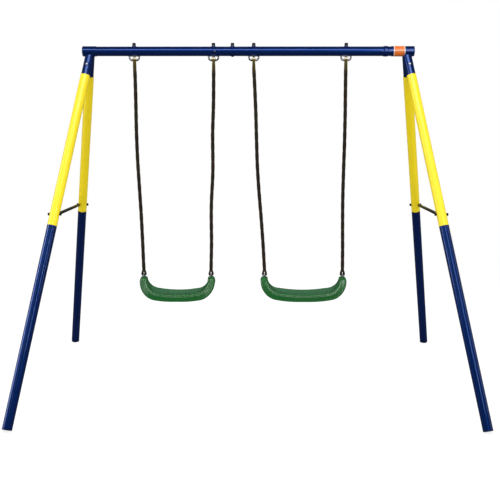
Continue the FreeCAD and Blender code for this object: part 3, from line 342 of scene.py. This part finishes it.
def strand_run(top, eye, corner, bow):
    """One strand from over the hinge bar down to the middle of the seat eye.

    corner is the strand's place among the four, in quarter turns. Returns the points, the
    direction that the strand's own section is measured from, its half depth and how much
    wider than deep it is, per step."""
    phase = TURN * (corner + 0.5) / 4
    side_x, side_y = np.sign(math.cos(phase)), np.sign(math.sin(phase))
    fold = np.linspace(math.pi / 2, 0, FOLD_STEPS + 1)[:-1]
    points = [np.stack([np.full(FOLD_STEPS, top.x + side_x * TOP_FORM[0][1] * MM),
                        side_y * FOLD * np.cos(fold), top.z + FOLD * np.sin(fold)], 1)]
    guides = [np.tile([side_x, 0.0, 0.0], (FOLD_STEPS, 1))]
    radii = [np.full(FOLD_STEPS, TOP_FORM[0][3] * MM)]
    widths = [np.ones(FOLD_STEPS)]

    form = np.array(TOP_FORM)
    below = np.arange(0, NECK_TOP, STEP / 2)
    x, y, radius = (smooth_curve(form[:, i], form[:, 0], below / MM) * MM for i in (1, 2, 3))
    share = (below / NECK_TOP)[:, None]
    points.append(np.stack([top.x + side_x * x, side_y * y, top.z - below], 1))
    guides.append(np.array([side_x, 0, 0]) * (1 - share) + np.array([side_x, side_y, 0]) * share)
    radii.append(radius)
    widths.append(1 + (FLAT - 1) * share[:, 0])

    start, end = top.z - NECK_TOP, eye.z + NECK_LOW
    steps = round((start - end) / STEP)
    t = np.arange(steps) / steps
    spin = phase + TURN * TURNS * t
    axis_x = top.x + (eye.x - top.x) * t
    for waves, reach in bow:
        axis_x = axis_x + reach * MM * np.sin(math.pi * waves * t) * np.sin(math.pi * t)
    axis_y = SWAY * np.sin(math.pi * t) * np.sin(TURN * 1.3 * t + top.x * 20)
    out = np.stack([np.cos(spin), np.sin(spin), np.zeros(steps)], 1)
    middle = np.stack([axis_x, axis_y, start + (end - start) * t], 1)
    points.append(middle + LAY_RADIUS * out)
    guides.append(out)
    radii.append(STRAND * (1 + 0.02 * np.sin(TURN * 11 * t + phase)))
    widths.append(np.full(steps, FLAT))

    form = np.array(LOW_FORM)
    travel = np.linspace(0, form[-1, 0], EYE_STEPS)
    z, x, y, radius = (smooth_curve(form[:, i], form[:, 0], travel) * MM for i in (1, 2, 3, 4))
    share = np.clip(travel / form[-4, 0], 0, 1)[:, None]
    points.append(np.stack([eye.x + side_x * x, side_y * y, eye.z + z], 1))
    guides.append(np.array([side_x, side_y, 0]) * (1 - share) + np.array([0, side_y, 0]) * share)
    radii.append(radius)
    widths.append(1 + (FLAT - 1) * (1 - share[:, 0]))
    return [np.concatenate(parts) for parts in (points, guides, radii, widths)]


def laid_rope(name, body, top, eye, bow):
    """A four-strand rope made of one endless strand: over the bar, down, through the eye, up."""
    runs = []
    for corner, downward in ((2, True), (3, False), (0, True), (1, False)):
        run = strand_run(top, eye, corner, bow)
        runs.append([part[:-1] if downward else part[:0:-1] for part in run])
    points, guides, radii, widths = (np.concatenate([run[i] for run in runs]) for i in range(4))
    tangent = np.roll(points, -1, 0) - np.roll(points, 1, 0)
    tangent /= np.linalg.norm(tangent, axis=1)[:, None]
    first = guides - (guides * tangent).sum(1)[:, None] * tangent
    first /= np.linalg.norm(first, axis=1)[:, None]
    second = np.cross(tangent, first)
    step = np.linalg.norm(np.roll(points, -1, 0) - points, axis=1)
    length = np.concatenate([[0], np.cumsum(step)])
    twist = TURN * round(length[-1] / YARN_LAY) * length[:-1] / length[-1]
    sides = 4 * YARNS
    angle = TURN * np.arange(sides) / sides
    ridge = 0.93 + 0.07 * np.abs(np.cos(YARNS / 2 * angle)) ** 0.6
    turned = angle[None, :] - twist[:, None]
    reach = (radii[:, None] * ridge[None, :])[:, :, None]
    rings = (points[:, None, :] + reach * (np.cos(turned)[:, :, None] * first[:, None, :]
                                           + (np.sin(turned) * widths[:, None])[:, :, None]
                                           * second[:, None, :]))
    rope = ring_mesh(name + "_laid", rings, "rope_fibre", closed=True, uv=length)
    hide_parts(name)
    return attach(rope, body)


def end_x(node, highest):
    """x of the middle of a node's top or bottom."""
    points = np.array([v.co for v in nodes[node].data.vertices])
    level = points[:, 2].max() if highest else points[:, 2].min()
    near = points[np.abs(points[:, 2] - level) < MM][:, 0]
    return (near.min() + near.max()) / 2


# How each rope strays from a straight line: (half waves, mm sideways).
BOWS = {
    ("left", "left"): ((1, -5.5), (2, -3.0)),
    ("left", "right"): ((2, 1.5), (5, 2.5)),
    ("right", "left"): ((1, -7.0), (3, 1.5)),
    ("right", "right"): ((1, -2.5), (2, 3.0)),
}

for swing in ("left", "right"):
    for place in ("left", "right"):
        node = f"{swing}_swing_rope_{place}"
        top = Vector((end_x(node, True), 0, hinge_at[f"{swing}_swing_hinge"].z))
        eye = Vector((end_x(node, False), 0, hinge_at[f"{swing}_seat_tilt"].z))
        laid_rope(node, f"{swing}_swing", top, eye, BOWS[swing, place])


# ---- seats -------------------------------------------------------------------------------

SEAT_THICK = 36 * MM        # depth of the skirt
SEAT_SWELL = 8 * MM         # extra depth where the seat bends
EVEN = 0.0012               # keeps the swell from dying out to a notch in mid-seat
SEAT_WALL = 4 * MM
SEAT_BEND = 68 * MM         # bend radius of the turned-up ends
SEAT_SLOPE = math.radians(10)
TIP_HALF = 21 * MM
FILL = 1.8                  # how soon the seat reaches its full width
DOME = 9 * MM               # rounding over the top of an end
RIM = 12 * MM               # rounding along the rim
HEEL = 11 * MM              # rounding down the outside of an end
FOOT = 1.5 * MM             # rounding of the skirt's lower edge
FLARE = 1.5 * MM            # how far the skirt leans out at its foot
LIP = 1.2 * MM              # bead along the foot of the skirt
DISH = 3 * MM               # how far the seating side sinks in the middle
ROOF_CORNER = 6 * MM        # rounding between the skirt and the roof of the hollow
DRAFT = 1.5 * MM            # how much the hollow narrows towards its roof
LIP_ROUND = 0.3 * MM        # how far the underside of the foot bulges down
SEAT_DROP = 95.5 * MM       # seat eye's axis to the middle of the seating side
COLLAR_RADIUS = 9.5 * MM    # of the collar round each seat eye's stem
SOLID_END = 0.16            # share of half the seat's length, from a tip, that is solid
HOLLOW_EASE = 0.08          # share in which the hollow then opens
LEVEL_FROM = 0.1            # share at which the flare, the lip and the dish begin
LEVEL_EASE = 0.3            # share in which they reach their full size


def seat_line(half_span, top, low):
    """Down one half of the seating line: arrays of x, z, lean in radians, and inset.

    inset is how much narrower the section is all round, near the domed top of an end."""
    run = half_span - SEAT_BEND + SEAT_BEND * math.sin(SEAT_SLOPE)
    wide = run / math.sin(SEAT_SLOPE)
    centre = low + wide * (1 - math.cos(SEAT_SLOPE)) + SEAT_BEND * math.cos(SEAT_SLOPE)
    dome = np.linspace(0, math.pi / 2, 9)
    turn = np.linspace(math.pi / 2, SEAT_SLOPE, 30)[:-1]
    ease = np.linspace(SEAT_SLOPE, 0, 36)
    x = np.concatenate([np.full(9, half_span), half_span - SEAT_BEND + SEAT_BEND * np.sin(turn),
                        wide * np.sin(ease)])
    z = np.concatenate([top - DOME * (1 - np.cos(dome)), centre - SEAT_BEND * np.cos(turn),
                        low + wide * (1 - np.cos(ease))])
    lean = np.concatenate([np.full(9, math.pi / 2), turn, ease])
    inset = np.concatenate([DOME * (1 - np.sin(dome)), np.zeros(len(turn) + len(ease))])
    return x, z, lean, inset


def arc(first, last, count):
    """Cosine and sine of count angles from first to last, in quarter turns."""
    angles = np.linspace(first, last, count) * math.pi / 2
    return zip(np.cos(angles), np.sin(angles))


def seat_profile(half, thick, upright, hollow, level, inset):
    """Section of the seat as (y, depth): out over the top, round the lips and back inside.

    upright is 1 where the seat stands on end and 0 where it lies level. hollow is how far the
    channel is open below, and level how far the flare, lip and dish are formed, from 0 to 1."""
    side = half - FOOT / 3 - inset
    rim = max(RIM - inset, FOOT)
    heel = max(FOOT + (HEEL - FOOT) * upright - inset, FOOT / 2)
    bottom = thick - inset
    flare, lip, dish = FLARE * level, LIP * level, DISH * level
    outside = []
    for across, along in arc(0, 1, 5):
        outside.append((side + flare + lip - heel + heel * along, bottom - heel + heel * across))
    for share in np.linspace(1, 0, 8)[1:]:
        bead = lip * math.exp(-9 * (1 - share))
        depth = inset + rim + (bottom - heel - inset - rim) * share
        outside.append((side + flare * share + bead, depth))
    for across, along in arc(0, 1, 9):
        outside.append((side - rim + rim * across, inset + rim - rim * along))
    for share in np.linspace(1, 0, 10)[1:]:
        outside.append(((side - rim) * share, inset + dish * (1 - share**2) ** 1.5))
    foot = outside[0][0]
    inner = min(foot - MM, foot + heel - SEAT_WALL)
    roof = bottom - hollow * (bottom - inset - SEAT_WALL - dish)
    inside = [(foot + (inner - foot) / 4, bottom + LIP_ROUND),
              (inner + (foot - inner) / 4, bottom + LIP_ROUND)]
    corner = min(ROOF_CORNER, bottom - roof + 0.01 * MM)
    for share in np.linspace(0, 1, 6):
        depth = bottom + (roof + corner - bottom) * share
        inside.append((inner - DRAFT * (bottom - depth) / thick, depth))
    last = inside[-1][0]
    for across, along in list(arc(0, 1, 5))[1:]:
        inside.append((last - corner + corner * across, roof + corner - corner * along))
    for share in np.linspace(1, 0, 6)[1:]:
        inside.append(((last - corner) * share, roof))
    right = np.array(outside[::-1] + inside)
    left = right[-2:0:-1] * np.array([-1, 1])
    return np.concatenate([right, left])


def moulded_seat(swing):
    """A moulded sling seat: a channel open below whose narrow ends turn up and are solid."""
    node = f"{swing}_seat"
    low_corner, high_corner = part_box(node)
    centre = (low_corner.x + high_corner.x) / 2
    eye_low, eye_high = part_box(f"{swing}_seat_eyes")
    half_span = (eye_high.x - eye_low.x) / 2 - COLLAR_RADIUS - SEAT_THICK / 2
    low = hinge_at[f"{swing}_seat_tilt"].z - SEAT_DROP
    x, z, lean, inset = seat_line(half_span, high_corner.z, low)
    travel = np.concatenate([[0], np.cumsum(np.hypot(np.diff(x), np.diff(z)))])
    share = travel / travel[-1]
    half = TIP_HALF + (high_corner.y - TIP_HALF) * np.sin(math.pi / 2 * np.minimum(1, FILL * share))
    swell = (np.sin(2 * lean) ** 2 + EVEN * np.cos(lean) ** 16) ** 0.25
    thick = SEAT_THICK + SEAT_SWELL * swell
    hollow = np.clip((share - SOLID_END) / HOLLOW_EASE, 0, 1)
    hollow = hollow * hollow * (3 - 2 * hollow)
    level = np.clip((share - LEVEL_FROM) / LEVEL_EASE, 0, 1)
    rows = []
    for side in (-1, 1):
        half_rows = []
        for i in range(len(x)):
            upright = math.sin(lean[i]) ** 2
            section = seat_profile(half[i], thick[i], upright, hollow[i], level[i], inset[i])
            down = np.array([side * math.sin(lean[i]), 0, -math.cos(lean[i])])
            start = np.array([centre + side * x[i], 0, z[i]])
            half_rows.append(start + section[:, :1] * np.array([0, 1, 0]) + section[:, 1:] * down)
        rows += half_rows if side < 0 else half_rows[-2::-1]
    seat = ring_mesh(node + "_moulded", np.array(rows), "green_plastic", caps=True)
    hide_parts(node)
    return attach(seat, f"{swing}_seat_body")


for swing in ("left", "right"):
    moulded_seat(swing)


# ---- floor, light, camera ----------------------------------------------------------------


def pale_floor():
    """A white floor with faint shadows under the object, dim to reflected and bounced light."""
    s = Shader(bpy.data.materials.new("pale_floor"))
    place = s.position()
    away = s.add("VectorMath", place, operation="LENGTH").outputs["Value"]
    grain = s.ramp(s.noise(3.0, 3.0), 0.3, 0.7)
    matt = s.add("BsdfDiffuse", s.blend(grain, rgb(0.90, 0.90, 0.90), rgb(0.93, 0.93, 0.93)))
    white = s.add("Emission", rgb(1, 1, 1), 1.0)
    whiter = s.ramp(away, 1.4, 3.5, 0.80, 1.0)
    seen = s.add("MixShader", whiter, matt.outputs[0], white.outputs[0])
    path = s.add("LightPath")
    unseen = s.blend(path.outputs["Is Glossy Ray"], rgb(0.38, 0.38, 0.38), rgb(0.05, 0.05, 0.06))
    dim = s.add("BsdfDiffuse", unseen)
    mixed = s.add("MixShader", path.outputs["Is Camera Ray"], dim.outputs[0], seen.outputs[0])
    mesh = bpy.data.meshes.new("floor")
    far = 60.0
    mesh.from_pydata([(-far, -far, 0), (far, -far, 0), (far, far, 0), (-far, far, 0)], [], [(0, 1, 2, 3)])
    mesh.materials.append(s.end(mixed))
    floor = bpy.data.objects.new("floor", mesh)
    bpy.context.scene.collection.objects.link(floor)


def soft_light(name, place, target, width, height, power, only_gloss=True):
    """A rectangular lamp in watts; with only_gloss it shows in reflections and lights nothing."""
    data = bpy.data.lights.new(name, "AREA")
    data.shape = "RECTANGLE"
    data.size, data.size_y = width, height
    data.energy = power
    lamp = bpy.data.objects.new(name, data)
    lamp.location = place
    lamp.rotation_euler = (Vector(target) - Vector(place)).to_track_quat("-Z", "Y").to_euler()
    lamp.visible_diffuse = not only_gloss
    bpy.context.scene.collection.objects.link(lamp)


def studio_world():
    """White to the camera, light mostly from above, and dark in reflections but for the back."""
    world = bpy.data.worlds.new("studio")
    world.cycles.sampling_method = "NONE"
    s = Shader(world)
    direction = s.add("SeparateXYZ", s.add("TexCoord").outputs["Generated"])
    backward, upward = direction.outputs[1], direction.outputs[2]
    path = s.add("LightPath")
    even = s.add("Background", rgb(1.0, 1.0, 1.0), s.ramp(upward, -1.0, 1.0, 0.1, 1.95))
    backdrop = s.math("MULTIPLY", s.ramp(upward, 0.03, 0.25), s.ramp(backward, 0.2, 0.8, 0.0, 0.20))
    dim = s.add("Background", rgb(0.8, 0.9, 1.0), s.math("ADD", backdrop, 0.03))
    seen = s.add("Background", rgb(1.0, 1.0, 1.0), 1.0)
    mirrored = s.add("MixShader", path.outputs["Is Glossy Ray"], even.outputs[0], dim.outputs[0])
    mixed = s.add("MixShader", path.outputs["Is Camera Ray"], mirrored.outputs[0], seen.outputs[0])
    bpy.context.scene.world = s.end(mixed, "OutputWorld")


pale_floor()
studio_world()
LEFT_LEGS, RIGHT_LEGS = (-0.9, -0.3, 1.0), (0.9, -0.3, 1.0)
soft_light("over", (0, -3.6, 4.8), (0, 0, 1.6), 4.4, 1.2, 60, only_gloss=False)
soft_light("over_gloss", (0, -3.6, 4.6), (0, 0, 1.7), 4.4, 0.9, 45)
soft_light("far_left", (-3.9, -0.9, 1.7), LEFT_LEGS, 0.7, 2.8, 55)
soft_light("far_right", (3.75, -1.2, 1.8), RIGHT_LEGS, 0.5, 2.8, 14)
soft_light("near_left", (-2.8, -4.05, 2.65), LEFT_LEGS, 0.35, 2.4, 12)
soft_light("near_right", (1.69, -4.42, 2.6), RIGHT_LEGS, 0.5, 2.4, 34)

camera_data = bpy.data.cameras.new("camera")
camera_data.lens = 54.33
camera_data.sensor_width = 36.0
camera_data.clip_end = 200.0
camera = bpy.data.objects.new("camera", camera_data)
camera.location = (0.035, -4.011, 1.506)
camera.rotation_euler = (math.radians(79.157), 0, math.radians(0.368))
bpy.context.scene.collection.objects.link(camera)
bpy.context.scene.camera = camera
bpy.context.scene.view_settings.view_transform = "Standard"

bpy.context.view_layer.update()
